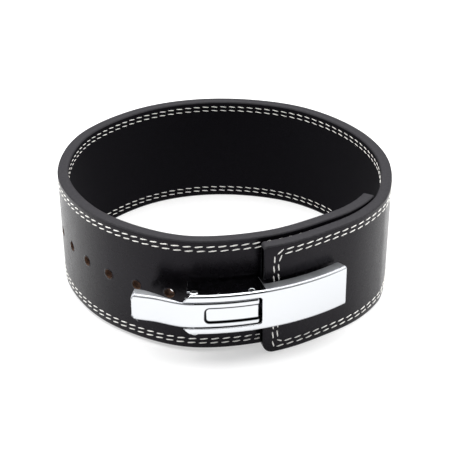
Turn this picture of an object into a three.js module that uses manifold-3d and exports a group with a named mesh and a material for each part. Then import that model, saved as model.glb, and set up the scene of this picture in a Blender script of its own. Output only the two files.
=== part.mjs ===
// A weightlifting belt with a lever buckle, standing on its lower edge.
// Millimetres, +Z up, the buckle faces -Y. The origin is under the middle of the belt.
import * as THREE from "three";
import { mergeVertices } from "three/addons/utils/BufferGeometryUtils.js";
import Module from "manifold-3d";

const wasm = await Module();
wasm.setup();

// Driving dimensions of the leather strap
const strapWidth = 100;
const strapThickness = 9.5;
const strapEdgeRound = 1.5;
const strapCornerRound = 9;
const loopRadius = 141;
const overlapLength = 121.4;
const layerGapAtBuckle = 1.8;
const layerGapAtInnerEnd = 0.7;
const innerEndLift = 3.2;
const wallLean = 0.014;
const sizeHoleDiameter = 7.5;
const sizeHolePitch = 29.3;
const sizeHoleCount = 10;
const firstSizeHole = 74.3;

// Driving dimensions of the metal buckle. "along" runs from the hinge pin
// towards the grip of the lever, "deep" runs from the lever's face towards the belt.
const clearance = 0.3;
const sheet = 1.8;
const bendRadius = 2.4;
const leverBend = 1.2965;
const leverCentreRightShare = -0.1397;
const leverCentreBackShare = 0.1986;
const leverCentreHeight = 51.2;
const strapEndAlong = 60.1;
const leverHeight = 35.3;
const leverTail = 8.9;
const leverReach = 132.7;
const tailChamfer = 5.6;
const gripFlangeDepth = 10.6;
const hingeFlangeDepth = 22.8;
const hingeFlangeTail = 6.1;
const flangeStepGap = 1.6;
const windowHeight = 24;
const windowEndGap = 1.8;
const hookFit = 0.4;
const hookReach = 52.8;
const hookFlangeDepth = 9.2;
const hookFlangeFlat = 8;
const hookFlangeTaper = 33;
const hookSink = 6.4;
const hookSinkFrom = 3;
const hookSinkTo = 38;
const hookFaceWall = 1.4;
const hookPinAlong = 46.2;
const hookPinRadius = 2;
const knuckleWall = 1.6;
const knuckleInset = 0.3;
const toothRadius = 3.2;
const toothLength = 11;
const hingePinDeep = 5.1;
const hingePinRadius = 1.6;
const pinHeadRadius = 3.3;
const pinHeadHeight = 1;
const earWall = 1.2;
const earGap = 0.5;
const earLength = 88;
const basePlateReach = 118;
const screwRadius = 2.8;
const screwHeadRadius = 6.5;
const screwHeadHeight = 2.2;
const screwInset = 20;
const screwPitch = 30;

// The loop seen from above. Turn is in degrees from the right-hand side, clockwise,
// radius is a share of loopRadius and lift a share of innerEndLift. The strap starts at
// the second row: the first one only gives the curve its direction there.
const planSections = [
  { turn: 6, radius: 0.9475, lift: 0.2 },
  { turn: 22, radius: 0.9193, lift: 0.45 },
  { turn: 36, radius: 0.8901, lift: 0.7 },
  { turn: 50, radius: 0.8545, lift: 0.9 },
  { turn: 75, radius: 0.8535, lift: 1 },
  { turn: 105, radius: 0.8918, lift: 0.95 },
  { turn: 135, radius: 0.8886, lift: 0.62 },
  { turn: 160, radius: 0.9148, lift: 0.3 },
  { turn: 185, radius: 0.9755, lift: 0.05 },
  { turn: 215, radius: 1.0567, lift: 0 },
  { turn: 245, radius: 1.1111, lift: 0 },
  { turn: 270, radius: 1.1224, lift: 0 },
  { turn: 298, radius: 1.1061, lift: 0 },
  { turn: 325, radius: 1.0525, lift: 0 },
  { turn: 352, radius: 1.011, lift: 0 },
];

const leather = new THREE.MeshStandardMaterial({ color: 0x1b1a1c, roughness: 0.5, metalness: 0 });
const chrome = new THREE.MeshStandardMaterial({ color: 0xd6d8da, roughness: 0.08, metalness: 1 });
const steel = new THREE.MeshStandardMaterial({ color: 0xaeb1b4, roughness: 0.25, metalness: 1 });

// Curve helpers

function planPoint({ turn, radius, lift }) {
  const angle = THREE.MathUtils.degToRad(-turn);
  const r = radius * loopRadius;
  return new THREE.Vector3(r * Math.cos(angle), r * Math.sin(angle), lift * innerEndLift);
}

// Point and outward direction on a curve that runs clockwise, at a distance from its start.
function curveFrame(curve, distance) {
  const share = THREE.MathUtils.clamp(distance / curve.getLength(), 0, 1);
  const point = curve.getPointAt(share);
  const run = curve.getTangentAt(share);
  const outward = new THREE.Vector3(-run.y, run.x, 0).normalize();
  return { point, outward };
}

function denseCurve(points) {
  const curve = new THREE.CatmullRomCurve3(points, false, "centripetal");
  curve.arcLengthDivisions = 3000;
  return curve;
}

// Close points on the smooth curve through rows, from one row to another.
function sampled(rows, first, last, steps) {
  const curve = denseCurve(rows);
  const points = [];
  for (let i = 0; i <= steps; i++) {
    const row = THREE.MathUtils.lerp(first, last, i / steps);
    const point = curve.getPoint(row / (rows.length - 1));
    points.push(point.setZ(Math.max(point.z, 0)));
  }
  return points;
}

// The outer end of the strap lies on its inner end at one wall's thickness and a small gap,
// and stays level, so only the inner end is lifted.
function strapMidline() {
  const rows = planSections.map(planPoint);
  const innerRun = denseCurve(sampled(rows.slice(0, 7), 1, 5, 60));
  const outerRun = (share) => {
    const { point, outward } = curveFrame(innerRun, overlapLength * share);
    const gap = THREE.MathUtils.lerp(layerGapAtInnerEnd, layerGapAtBuckle, share);
    return point.addScaledVector(outward, strapThickness + gap).setZ(0);
  };
  const points = sampled([...rows, outerRun(0), outerRun(0.3)], 1, rows.length, 140);
  const overlapSteps = 16;
  for (let i = 1; i <= overlapSteps; i++) {
    points.push(outerRun(i / overlapSteps));
  }
  return denseCurve(points);
}

const midline = strapMidline();
const strapLength = midline.getLength();

// The lever's face is bent to one radius about a centre inside the loop. Both go with the
// loop's size, and the lever's place on that circle goes with the outer end of the strap.
const leverRadius = leverBend * loopRadius;
const leverCentreRight = leverCentreRightShare * loopRadius;
const leverCentreBack = leverCentreBackShare * loopRadius;

function leverTurnAt(point) {
  return Math.atan2(point.y - leverCentreBack, point.x - leverCentreRight);
}

function outerEndTurn() {
  const { point, outward } = curveFrame(midline, strapLength);
  return leverTurnAt(point.addScaledVector(outward, strapThickness / 2));
}

const hingeTurn = outerEndTurn() - strapEndAlong / leverRadius;

// A place on the buckle is a turn and a radius.
function bucklePoint(along, deep, height) {
  const angle = along / leverRadius + hingeTurn;
  const r = leverRadius - deep;
  const x = leverCentreRight + r * Math.cos(angle);
  const y = leverCentreBack + r * Math.sin(angle);
  return new THREE.Vector3(x, y, leverCentreHeight + height);
}

// Where the outer surface of the strap's outer end lies, in the buckle's own measures
function strapSurfaceTrack() {
  const track = [];
  const steps = 40;
  for (let i = 0; i <= steps; i++) {
    const { point, outward } = curveFrame(midline, strapLength - overlapLength * (i / steps));
    point.addScaledVector(outward, strapThickness / 2);
    const radius = Math.hypot(point.x - leverCentreRight, point.y - leverCentreBack);
    const along = (leverTurnAt(point) - hingeTurn) * leverRadius;
    track.push({ along, deep: leverRadius - radius });
  }
  return track;
}

const surfaceTrack = strapSurfaceTrack();

function strapSurfaceDeep(along) {
  const next = surfaceTrack.findIndex((place) => place.along > along);
  if (next <= 0) {
    return surfaceTrack[0].deep;
  }
  const before = surfaceTrack[next - 1];
  const after = surfaceTrack[next];
  return THREE.MathUtils.mapLinear(along, before.along, after.along, before.deep, after.deep);
}

function bucklePlace(along, deep) {
  const point = bucklePoint(along, deep, 0);
  const ahead = bucklePoint(along + 1, deep, 0).sub(bucklePoint(along - 1, deep, 0));
  return { point, turn: Math.atan2(ahead.y, ahead.x) };
}

const noSink = () => 0;

// How much deeper than the lever's face the hook plate lies: it bends in behind the hinge.
function hookSinkAt(along) {
  return hookSink * THREE.MathUtils.smoothstep(-along, hookSinkFrom, hookSinkTo);
}

// Solids: a closed mesh goes in, and comes back after joining and cutting

function toSolid(geometry) {
  const bare = geometry.clone();
  bare.deleteAttribute("normal");
  bare.deleteAttribute("uv");
  const merged = mergeVertices(bare, 1e-4);
  const mesh = new wasm.Mesh({
    numProp: 3,
    vertProperties: new Float32Array(merged.attributes.position.array),
    triVerts: new Uint32Array(merged.index.array),
  });
  return new wasm.Manifold(mesh);
}

function toGeometry(solid) {
  const mesh = solid.getMesh();
  const geometry = new THREE.BufferGeometry();
  geometry.setAttribute("position", new THREE.BufferAttribute(mesh.vertProperties, 3));
  geometry.setIndex(new THREE.BufferAttribute(mesh.triVerts, 1));
  geometry.computeVertexNormals();
  return geometry;
}

function moveVertices(geometry, move) {
  const position = geometry.attributes.position;
  for (let i = 0; i < position.count; i++) {
    const to = move(position.getX(i), position.getY(i), position.getZ(i));
    position.setXYZ(i, to.x, to.y, to.z);
  }
  return geometry;
}

// A block that follows the buckle's bend. near and far are its depths as functions of along.
function bentBlock({ from, to, near, far, low, high, sink = noSink }) {
  const steps = Math.max(1, Math.ceil((to - from) / 5));
  const box = new THREE.BoxGeometry(1, 1, 1, steps, 1, 1);
  const nearAt = typeof near === "function" ? near : () => near;
  const farAt = typeof far === "function" ? far : () => far;
  moveVertices(box, (x, y, z) => {
    const along = THREE.MathUtils.lerp(from, to, x + 0.5);
    const deep = THREE.MathUtils.lerp(nearAt(along), farAt(along), y + 0.5);
    return bucklePoint(along, deep + sink(along), THREE.MathUtils.lerp(low, high, z + 0.5));
  });
  return toSolid(box);
}

// A channel of bent sheet: a face and two flanges turned towards the belt.
function bentChannel({ from, to, height, depth, corner, sink = noSink }) {
  const half = height / 2;
  const section = new THREE.Shape();
  section.moveTo(depth, half);
  section.lineTo(corner, half);
  section.absarc(corner, half - corner, corner, Math.PI / 2, Math.PI, false);
  section.absarc(corner, corner - half, corner, Math.PI, Math.PI * 1.5, false);
  section.lineTo(depth, -half);
  section.lineTo(depth, sheet - half);
  section.lineTo(sheet, sheet - half);
  section.lineTo(sheet, half - sheet);
  section.lineTo(depth, half - sheet);
  section.closePath();
  const steps = Math.ceil((to - from) / 4);
  const channel = new THREE.ExtrudeGeometry(section, {
    depth: to - from,
    steps,
    bevelEnabled: false,
    curveSegments: 2,
  });
  return toSolid(moveVertices(channel, (x, y, z) => {
    return bucklePoint(from + z, x + sink(from + z), y);
  }));
}

// An upright round bar at a place on the buckle.
function uprightBar(along, deep, radius, low, high, sides = 20) {
  const bar = new THREE.CylinderGeometry(radius, radius, high - low, sides);
  bar.rotateX(Math.PI / 2);
  const { x, y } = bucklePlace(along, deep).point;
  bar.translate(x, y, leverCentreHeight + (low + high) / 2);
  return toSolid(bar);
}

// A round bar that runs straight through the buckle's depth.
function crossBar(along, height, radius, near, far, tipRadius = radius, sides = 20) {
  const bar = new THREE.CylinderGeometry(tipRadius, radius, far - near, sides);
  const { point, turn } = bucklePlace(along, (near + far) / 2);
  bar.rotateZ(turn);
  bar.translate(point.x, point.y, leverCentreHeight + height);
  return toSolid(bar);
}

// Leather strap

function strapPoint(offset, height, distance) {
  const { point, outward } = curveFrame(midline, distance);
  const leaning = offset - wallLean * (strapWidth / 2 - height);
  const lift = point.z;
  point.addScaledVector(outward, leaning);
  return point.setZ(lift + height);
}

function strapSection() {
  const half = strapThickness / 2;
  const r = strapEdgeRound;
  const section = new THREE.Shape();
  section.moveTo(-half + r, 0);
  section.lineTo(half - r, 0);
  section.absarc(half - r, r, r, -Math.PI / 2, 0, false);
  section.lineTo(half, strapWidth - r);
  section.absarc(half - r, strapWidth - r, r, 0, Math.PI / 2, false);
  section.lineTo(-half + r, strapWidth);
  section.absarc(-half + r, strapWidth - r, r, Math.PI / 2, Math.PI, false);
  section.lineTo(-half, r);
  section.absarc(-half + r, r, r, Math.PI, Math.PI * 1.5, false);
  return section;
}

// A bar straight through the strap's wall at a distance from its inner end
function throughStrap(distance, height, radius, sides) {
  const { point, outward } = curveFrame(midline, distance);
  const bar = new THREE.CylinderGeometry(radius, radius, strapThickness * 1.3, sides);
  bar.rotateZ(Math.atan2(outward.y, outward.x) - Math.PI / 2);
  bar.translate(point.x, point.y, point.z + height);
  return toSolid(bar);
}

// What is cut from a corner of a strap end to round it. side is -1 at the start of the strap.
function strapCorner(endDistance, side, height, up) {
  const r = strapCornerRound;
  const chords = 4;
  const outline = [new THREE.Vector2(2, 2)];
  for (let i = 0; i <= chords; i++) {
    const angle = (Math.PI / 2) * (i / chords);
    outline.push(new THREE.Vector2(r * (Math.cos(angle) - 1), r * (Math.sin(angle) - 1)));
  }
  const overrun = (end, next) => end.add(end.clone().sub(next).setLength(1));
  overrun(outline[1], outline[2]);
  overrun(outline[chords + 1], outline[chords]);
  const shape = new THREE.Shape(outline);
  const cutter = new THREE.ExtrudeGeometry(shape, { depth: strapThickness * 1.6, bevelEnabled: false });
  if (side * up > 0) {
    flipFaces(cutter);
  }
  const inside = curveFrame(midline, endDistance - side * 0.5);
  const run = new THREE.Vector3(inside.outward.y, -inside.outward.x, 0);
  const end = curveFrame(midline, endDistance).point;
  return toSolid(moveVertices(cutter, (x, y, z) => {
    const to = end.clone().addScaledVector(inside.outward, z - strapThickness * 0.8);
    to.addScaledVector(run, x * side);
    return to.setZ(end.z + height + y * up);
  }));
}

// Turns a mesh's triangles over, for one that is mirrored when it is placed
function flipFaces(geometry) {
  const position = geometry.attributes.position;
  for (let i = 0; i < position.count; i += 3) {
    const first = new THREE.Vector3().fromBufferAttribute(position, i);
    const second = new THREE.Vector3().fromBufferAttribute(position, i + 1);
    position.setXYZ(i, second.x, second.y, second.z);
    position.setXYZ(i + 1, first.x, first.y, first.z);
  }
}

function screwAlong(index) {
  return strapEndAlong + screwInset + index * screwPitch;
}

function makeStrap() {
  const straight = new THREE.ExtrudeGeometry(strapSection(), {
    depth: strapLength,
    steps: Math.ceil(strapLength / 9),
    bevelEnabled: false,
    curveSegments: 1,
  });
  let strap = toSolid(moveVertices(straight, strapPoint));
  const middle = strapWidth / 2;
  for (let i = 0; i < sizeHoleCount; i++) {
    strap = strap.subtract(
      throughStrap(firstSizeHole + i * sizeHolePitch, middle, sizeHoleDiameter / 2, 16),
    );
  }
  for (let i = 0; i < 2; i++) {
    const along = screwAlong(i);
    const near = strapSurfaceDeep(along) - strapThickness * 0.2;
    const far = strapSurfaceDeep(along) + strapThickness + layerGapAtInnerEnd;
    strap = strap.subtract(crossBar(along, 0, screwRadius + clearance, near, far));
  }
  for (const up of [1, -1]) {
    const height = up > 0 ? strapWidth : 0;
    strap = strap.subtract(strapCorner(strapLength, 1, height, up));
    strap = strap.subtract(strapCorner(0, -1, height, up));
  }
  return strap;
}

// Lever: a long channel with a window for the hook plate

const leverHalf = leverHeight / 2;
const windowHalf = windowHeight / 2;
const hookHalf = windowHalf - hookFit;
const knuckleRadius = hookPinRadius + clearance + knuckleWall;
const hookPinDeep = knuckleRadius + knuckleInset;
const windowEnd = hookPinAlong + knuckleRadius + windowEndGap;
const earHalf = windowHalf - clearance;

function makeLever() {
  let lever = bentChannel({
    from: -leverTail,
    to: leverReach,
    height: leverHeight,
    depth: hingeFlangeDepth,
    corner: bendRadius,
  });
  const outside = { low: -leverHalf - 1, high: leverHalf + 1 };
  const stepAlong = strapEndAlong - flangeStepGap;
  lever = lever.subtract(bentBlock({
    from: stepAlong,
    to: leverReach + 2,
    near: gripFlangeDepth,
    far: hingeFlangeDepth + 2,
    ...outside,
  }));
  lever = lever.subtract(bentBlock({
    from: -leverTail - 2,
    to: -hingeFlangeTail,
    near: bendRadius,
    far: hingeFlangeDepth + 2,
    ...outside,
  }));
  lever = lever.subtract(bentBlock({
    from: -leverTail - 2,
    to: windowEnd,
    near: -2,
    far: sheet + 1,
    low: -windowHalf,
    high: windowHalf,
  }));
  for (const up of [1, -1]) {
    const chamfer = new THREE.CylinderGeometry(tailChamfer, tailChamfer, sheet * 6, 4);
    const { point, turn } = bucklePlace(-leverTail, sheet);
    chamfer.rotateZ(turn);
    chamfer.translate(point.x, point.y, leverCentreHeight + up * leverHalf);
    lever = lever.subtract(toSolid(chamfer));
  }
  const through = [-leverHalf - 1, leverHalf + 1];
  lever = lever.subtract(uprightBar(0, hingePinDeep, hingePinRadius + clearance, ...through));
  const hookBore = hookPinRadius + clearance;
  return lever.subtract(uprightBar(hookPinAlong, hookPinDeep, hookBore, ...through));
}

// Hook plate: a narrow channel with a tooth at its free end and a knuckle in the window

function makeHookPlate() {
  let hook = bentChannel({
    from: -hookReach,
    to: hookPinAlong,
    height: hookHalf * 2,
    depth: hookFlangeDepth,
    corner: bendRadius,
    sink: hookSinkAt,
  });
  const taper = (along) => {
    const past = along + hookReach - hookFlangeFlat;
    const share = THREE.MathUtils.clamp(past / hookFlangeTaper, 0, 1);
    return THREE.MathUtils.lerp(hookFlangeDepth - 0.5, hookFaceWall, share);
  };
  hook = hook.subtract(bentBlock({
    from: -hookReach + sheet * 0.7,
    to: hookPinAlong + 2,
    near: taper,
    far: hookFlangeDepth + 2,
    low: -hookHalf - 1,
    high: hookHalf + 1,
    sink: hookSinkAt,
  }));
  hook = hook.add(bentBlock({
    from: -hookReach + 0.2,
    to: -hookReach + sheet,
    near: sheet / 2,
    far: hookFlangeDepth,
    low: -hookHalf + sheet / 2,
    high: hookHalf - sheet / 2,
    sink: hookSinkAt,
  }));
  const toothAlong = -hookReach + toothRadius;
  const toothRoot = hookSink + sheet / 2;
  const toothTip = hookSink + hookFlangeDepth + toothLength;
  const tooth = crossBar(toothAlong, 0, toothRadius, toothRoot, toothTip, toothRadius, 20);
  hook = hook.add(tooth);
  hook = hook.add(uprightBar(hookPinAlong, hookPinDeep, knuckleRadius, -hookHalf, hookHalf, 24));
  const bore = hookPinRadius + clearance;
  return hook.subtract(uprightBar(hookPinAlong, hookPinDeep, bore, -hookHalf - 1, hookHalf + 1));
}

// Base plate: screwed on the outer end of the strap, with two ears that carry the hinge pin

const plateFarDeep = (along) => strapSurfaceDeep(along) - clearance - wallLean * earHalf;
const plateNearDeep = (along) => plateFarDeep(along) - sheet;

function makeBasePlate() {
  const noseRadius = hingePinRadius + clearance + earWall;
  const earNear = hookPinDeep + knuckleRadius + earGap;
  const earEnd = plateNearDeep(earLength) - 1;
  let base = bentBlock({
    from: noseRadius,
    to: basePlateReach,
    near: plateNearDeep,
    far: plateFarDeep,
    low: -earHalf,
    high: earHalf,
  });
  for (const up of [1, -1]) {
    const low = up > 0 ? earHalf - sheet : -earHalf;
    const high = low + sheet;
    base = base.add(bentBlock({
      from: 0,
      to: earLength,
      near: (along) => THREE.MathUtils.mapLinear(along, 0, earLength, earNear, earEnd),
      far: (along) => plateFarDeep(along) - 0.1,
      low,
      high,
    }));
    base = base.add(bentBlock({
      from: -noseRadius,
      to: noseRadius,
      near: hingePinDeep,
      far: (earNear + plateFarDeep(0)) / 2,
      low,
      high,
    }));
    base = base.add(uprightBar(0, hingePinDeep, noseRadius, low, high, 24));
  }
  const through = [-earHalf - 1, earHalf + 1];
  base = base.subtract(uprightBar(0, hingePinDeep, hingePinRadius + clearance, ...through));
  for (let i = 0; i < 2; i++) {
    const along = screwAlong(i);
    const [near, far] = [plateNearDeep(along) - 1, plateFarDeep(along) + 1];
    base = base.subtract(crossBar(along, 0, screwRadius + clearance, near, far));
  }
  return base;
}

// Pins and screws are turned parts

function turnedPart(profile, sides = 24) {
  return new THREE.LatheGeometry(profile.map(([r, h]) => new THREE.Vector2(r, h)), sides);
}

function makeHingePin() {
  const under = leverHalf + clearance;
  const top = under + pinHeadHeight;
  const pin = turnedPart([
    [0, -top],
    [pinHeadRadius * 0.8, -top],
    [pinHeadRadius, -top + pinHeadHeight * 0.4],
    [pinHeadRadius, -under],
    [hingePinRadius, -under],
    [hingePinRadius, under],
    [pinHeadRadius, under],
    [pinHeadRadius, top - pinHeadHeight * 0.4],
    [pinHeadRadius * 0.8, top],
    [0, top],
  ]);
  return pin;
}

function makeHookPin() {
  return turnedPart([
    [0, -leverHalf],
    [hookPinRadius, -leverHalf],
    [hookPinRadius, leverHalf],
    [0, leverHalf],
  ]);
}

function makeScrew() {
  const under = clearance;
  const shankLength = sheet + clearance + strapThickness;
  return turnedPart([
    [0, -shankLength],
    [screwRadius, -shankLength],
    [screwRadius, under],
    [screwHeadRadius, under],
    [screwHeadRadius, under + screwHeadHeight * 0.5],
    [screwHeadRadius * 0.8, under + screwHeadHeight],
    [0, under + screwHeadHeight],
  ]);
}

// Assembly

function named(name, geometry, material) {
  const mesh = new THREE.Mesh(geometry, material);
  mesh.name = name;
  return mesh;
}

function uprightPin(name, geometry, along, deep) {
  geometry.rotateX(Math.PI / 2);
  const pin = named(name, geometry, steel);
  pin.position.copy(bucklePoint(along, deep, 0));
  return pin;
}

const belt = new THREE.Group();
belt.add(named("strap", toGeometry(makeStrap()), leather));
belt.add(named("lever", toGeometry(makeLever()), chrome));
belt.add(named("hook_plate", toGeometry(makeHookPlate()), chrome));
belt.add(named("base_plate", toGeometry(makeBasePlate()), chrome));
belt.add(uprightPin("hinge_pin", makeHingePin(), 0, hingePinDeep));
belt.add(uprightPin("hook_pin", makeHookPin(), hookPinAlong, hookPinDeep));
for (let i = 0; i < 2; i++) {
  const screw = named(`base_screw_${i + 1}`, makeScrew(), steel);
  const { point, turn } = bucklePlace(screwAlong(i), plateNearDeep(screwAlong(i)));
  screw.position.copy(point);
  screw.rotation.z = turn + Math.PI;
  belt.add(screw);
}

// The origin goes under the middle of the belt.
const bounds = new THREE.Box3().setFromObject(belt);
const centre = bounds.getCenter(new THREE.Vector3());
belt.position.set(-centre.x, -centre.y, -bounds.min.z);

export default belt;
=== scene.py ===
# %% [markdown]
# A weightlifting belt of thick black leather with a chromed lever buckle.
# This lesson builds it piece by piece around a fixed frame. The frame holds the hard shape
# of every piece, and the lesson adds what the eye needs: rounded leather edges, white
# saddle stitching, bright bent sheet metal and soft studio light.
# Sizes below are in millimetres until the last step of each mesh, where they become metres.

# %% Load the frame
import bpy
import numpy as np
from mathutils import Matrix, Vector


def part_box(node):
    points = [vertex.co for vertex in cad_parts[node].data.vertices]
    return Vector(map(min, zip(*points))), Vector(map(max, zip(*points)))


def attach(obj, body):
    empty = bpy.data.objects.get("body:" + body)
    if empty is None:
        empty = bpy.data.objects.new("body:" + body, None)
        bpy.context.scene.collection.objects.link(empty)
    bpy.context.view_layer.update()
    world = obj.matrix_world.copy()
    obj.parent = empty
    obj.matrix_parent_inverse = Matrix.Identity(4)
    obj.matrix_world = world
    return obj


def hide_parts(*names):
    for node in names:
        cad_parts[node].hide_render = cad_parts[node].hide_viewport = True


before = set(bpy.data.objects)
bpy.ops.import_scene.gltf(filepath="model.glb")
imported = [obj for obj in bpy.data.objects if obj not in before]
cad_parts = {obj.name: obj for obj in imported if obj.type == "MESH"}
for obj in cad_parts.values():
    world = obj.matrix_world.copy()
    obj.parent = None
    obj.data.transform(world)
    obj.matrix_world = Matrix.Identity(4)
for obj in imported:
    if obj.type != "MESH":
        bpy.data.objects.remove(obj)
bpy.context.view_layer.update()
print("frame pieces:", sorted(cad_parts))

# %% [markdown]
# The leather strip is one long band of even width, coiled so that its outer end lies on its
# inner end. Seen from above it is a smooth curve. A spline through a few plan points gives
# that curve, and a table of lengths along it turns a distance into a place. The radii of the
# plan points were fitted to a photograph of such a belt and then rounded.

# %% Sizes of the strap
STRAP_WIDTH = 100.0
STRAP_THICKNESS = 9.5
LOOP_RADIUS = 141.0
OVERLAP_LENGTH = 121.4
GAP_AT_BUCKLE = 1.8
GAP_AT_INNER_END = 0.7
INNER_END_LIFT = 3.2
WALL_LEAN = 0.014
HALF_WALL = STRAP_THICKNESS / 2

# turn in degrees clockwise from the right, radius as a share of LOOP_RADIUS, lift share
PLAN_SECTIONS = np.array([
    (6, 0.9475, 0.2),
    (22, 0.9193, 0.45),
    (36, 0.8901, 0.7),
    (50, 0.8545, 0.9),
    (75, 0.8535, 1),
    (105, 0.8918, 0.95),
    (135, 0.8886, 0.62),
    (160, 0.9148, 0.3),
    (185, 0.9755, 0.05),
    (215, 1.0567, 0),
    (245, 1.1111, 0),
    (270, 1.1224, 0),
    (298, 1.1061, 0),
    (325, 1.0525, 0),
    (352, 1.011, 0),
])


# %% A smooth curve through points
STEPS_BETWEEN_ROWS = 960
TRACK_STEPS = 24


def spline(points, steps):
    """Centripetal Catmull-Rom curve. Between two points it is the cubic whose slopes at both
    ends come from the neighbours, each weighed by the root of the distance to it."""
    p = np.vstack([2 * points[0] - points[1], points, 2 * points[-1] - points[-2]])
    gap = np.sqrt(np.linalg.norm(np.diff(p, axis=0), axis=1))
    x0, x1, x2, x3 = p[:-3], p[1:-2], p[2:-1], p[3:]
    g0, g1, g2 = gap[:-2, None], gap[1:-1, None], gap[2:, None]
    slope1 = g1 * ((x1 - x0) / g0 - (x2 - x0) / (g0 + g1) + (x2 - x1) / g1)
    slope2 = g1 * ((x2 - x1) / g1 - (x3 - x1) / (g1 + g2) + (x3 - x2) / g2)
    s = (np.arange(steps) / steps)[None, :, None]
    square = (-3 * x1 + 3 * x2 - 2 * slope1 - slope2)[:, None]
    cube = (2 * x1 - 2 * x2 + slope1 + slope2)[:, None]
    curve = x1[:, None] + slope1[:, None] * s + square * s ** 2 + cube * s ** 3
    return np.vstack([curve.reshape(-1, p.shape[1]), points[-1]])


def between_rows(points, first, last, count):
    """Points at even steps of the row number, and never below the ground."""
    dense = spline(points, STEPS_BETWEEN_ROWS)
    at = np.linspace(first, last, count + 1) * STEPS_BETWEEN_ROWS
    low = np.clip(at.astype(int), 0, len(dense) - 2)
    share = (at - low)[:, None]
    found = dense[low] * (1 - share) + dense[low + 1] * share
    found[:, 2] = np.maximum(found[:, 2], 0)
    return found


class Track:
    """A curve read by the distance from its start."""

    def __init__(self, points):
        self.points = spline(points, TRACK_STEPS)
        steps = np.linalg.norm(np.diff(self.points, axis=0), axis=1)
        self.reach = np.concatenate([[0.0], np.cumsum(steps)])
        self.length = self.reach[-1]

    def read(self, distance):
        """Point and outward direction. Outward is the running direction turned a quarter."""
        distance = np.clip(np.asarray(distance, float), 0, self.length)
        point = np.stack([np.interp(distance, self.reach, c) for c in self.points.T], -1)
        middle = (self.reach[1:] + self.reach[:-1]) / 2
        run = np.diff(self.points, axis=0) / np.diff(self.reach)[:, None]
        run = np.stack([np.interp(distance, middle, c) for c in run.T], -1)
        outward = np.stack([-run[..., 1], run[..., 0], np.zeros_like(run[..., 0])], -1)
        return point, outward / np.linalg.norm(outward, axis=-1, keepdims=True)


# %% The strap's middle layer
ROWS_UNDER_OVERLAP = 5
OVERLAP_STEPS = 16
JOIN_SHARE = 0.3


def strap_track():
    """The plan points give the inner layer. The outer end repeats that curve at one wall's
    thickness and a small gap outside it. The first row only steers the curve's start."""
    angle = -np.radians(PLAN_SECTIONS[:, 0])
    radius = PLAN_SECTIONS[:, 1] * LOOP_RADIUS
    lift = PLAN_SECTIONS[:, 2] * INNER_END_LIFT
    rows = np.stack([radius * np.cos(angle), radius * np.sin(angle), lift], -1)
    inner = Track(between_rows(rows[:ROWS_UNDER_OVERLAP + 2], first=1,
                               last=ROWS_UNDER_OVERLAP, count=60))

    def outer(share):
        share = np.asarray(share, float)
        point, outward = inner.read(OVERLAP_LENGTH * share)
        gap = GAP_AT_INNER_END + (GAP_AT_BUCKLE - GAP_AT_INNER_END) * share
        point = point + outward * (STRAP_THICKNESS + gap)[:, None]
        point[:, 2] = 0
        return point

    loop = between_rows(np.vstack([rows, outer([0, JOIN_SHARE])]), first=1, last=len(rows),
                        count=140)
    overlap = outer(np.arange(1, OVERLAP_STEPS + 1) / OVERLAP_STEPS)
    return Track(np.vstack([loop, overlap]))


track = strap_track()
print("strap length, mm:", round(float(track.length), 1))

# %% [markdown]
# The lever is bent to one radius, like a piece of a hoop. A place on the buckle is given by
# three numbers: along (from the hinge pin towards the grip), deep (from the face towards the
# belt) and height (from the buckle's middle). The frame is centred on its own box, so the
# hinge pin of the frame gives the last shift.

# %% Places on the strap and on the buckle
LEVER_RADIUS = 1.2965 * LOOP_RADIUS
LEVER_CENTRE = np.array([-0.1397, 0.1986]) * LOOP_RADIUS
LEVER_CENTRE_HEIGHT = 51.2
STRAP_END_ALONG = 60.1
HINGE_PIN_DEEP = 5.1


def lever_turn(point):
    """Angle of a place about the lever's centre."""
    return np.arctan2(point[..., 1] - LEVER_CENTRE[1], point[..., 0] - LEVER_CENTRE[0])


end_point, end_outward = track.read(track.length)
hinge_turn = lever_turn(end_point + end_outward * HALF_WALL) - STRAP_END_ALONG / LEVER_RADIUS


def buckle_raw(along, deep, height):
    """A turn about the lever's centre of along over radius, at radius less deep."""
    angle = np.asarray(along) / LEVER_RADIUS + hinge_turn
    radius = LEVER_RADIUS - deep
    x = LEVER_CENTRE[0] + radius * np.cos(angle)
    y = LEVER_CENTRE[1] + radius * np.sin(angle)
    return np.stack(np.broadcast_arrays(x, y, LEVER_CENTRE_HEIGHT + height), -1)


pin_low, pin_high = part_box("hinge_pin")
pin_middle = (np.array(pin_low) + np.array(pin_high)) / 2 * 1000
shift = pin_middle - buckle_raw(0.0, HINGE_PIN_DEEP, 0.0)
shift[2] = 0
print("shift to the frame, mm:", shift.round(3))


def buckle_point(along, deep, height):
    """A place on the buckle in the frame."""
    return buckle_raw(along, deep, height) + shift


def strap_point(offset, height, distance):
    """Out from the middle layer by the offset, less the wall's lean below mid height."""
    offset, height, distance = np.broadcast_arrays(offset, height, distance)
    point, outward = track.read(distance)
    lean = offset - WALL_LEAN * (STRAP_WIDTH / 2 - height)
    place = point + outward * lean[..., None]
    place[..., 2] = point[..., 2] + height
    return place + shift


# %% [markdown]
# A few helpers do the plain work. One turns arrays of points and faces into a mesh, one adds
# a node to a material with its settings and links, and two build what materials share.

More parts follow.
